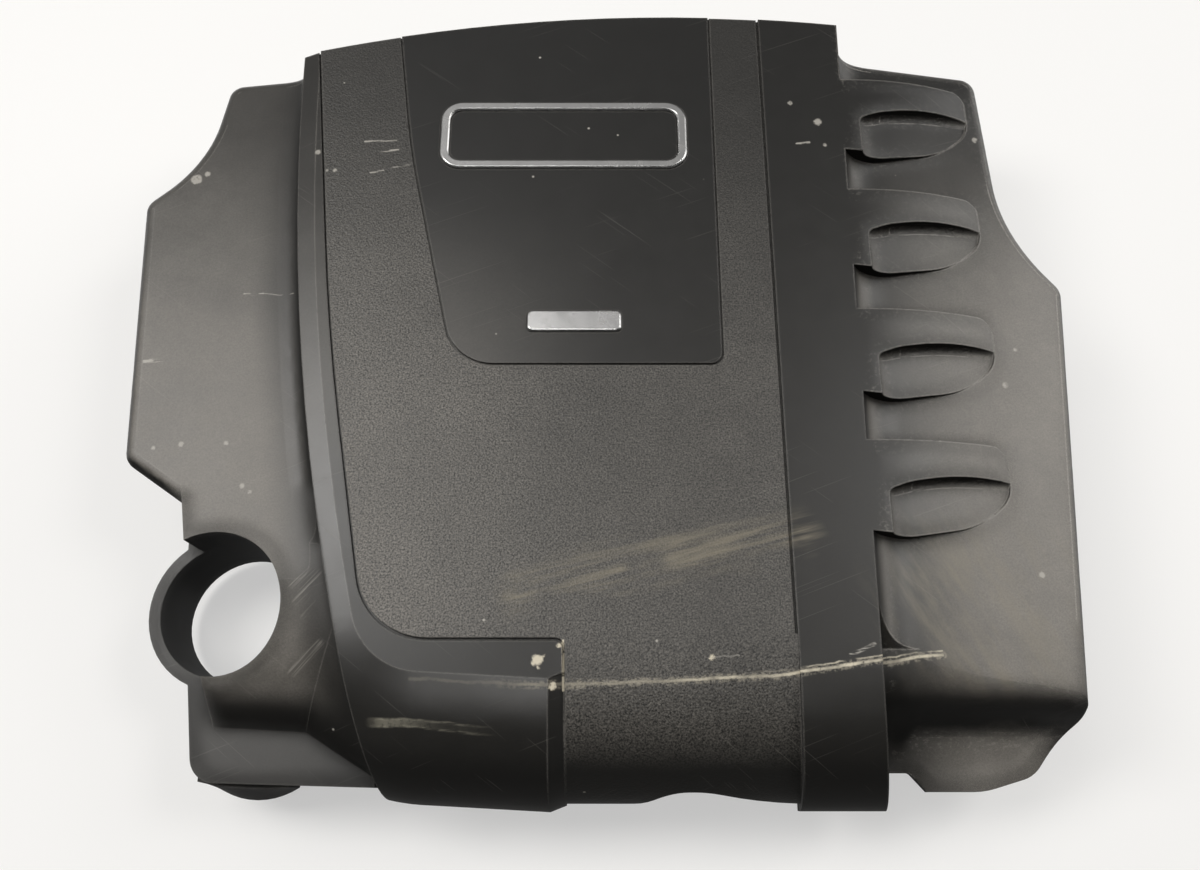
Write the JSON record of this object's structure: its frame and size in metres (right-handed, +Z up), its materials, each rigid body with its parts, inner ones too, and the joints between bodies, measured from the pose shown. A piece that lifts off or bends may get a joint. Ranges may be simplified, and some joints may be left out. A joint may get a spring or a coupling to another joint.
{
  "type": "engine cover",
  "caption": "Moulded engine top cover with a grained panel, a raised strip, stepped finger recesses, a round filler opening and rubber ball sockets underneath.",
  "frame": {"origin": "centre of the footprint, on the surface that the four sockets stand on", "axes": "+X to the right and +Y to the back with the filler opening at front left, +Z up"},
  "size_m": [0.5232, 0.4461, 0.1012],
  "materials": {
    "moulded_shell": "fine-grained black polyamide, worn and dusty",
    "bright_trim": "bright plated trim",
    "rubber_socket": "soft black rubber"
  },
  "bodies": {
    "root": {"cover_shell": "moulded_shell", "emblem_frame": "bright_trim", "name_bar": "bright_trim", "grommet_rear_left": "rubber_socket", "grommet_rear_right": "rubber_socket", "grommet_front_left": "rubber_socket", "grommet_front_right": "rubber_socket"}
  },
  "joints": []
}
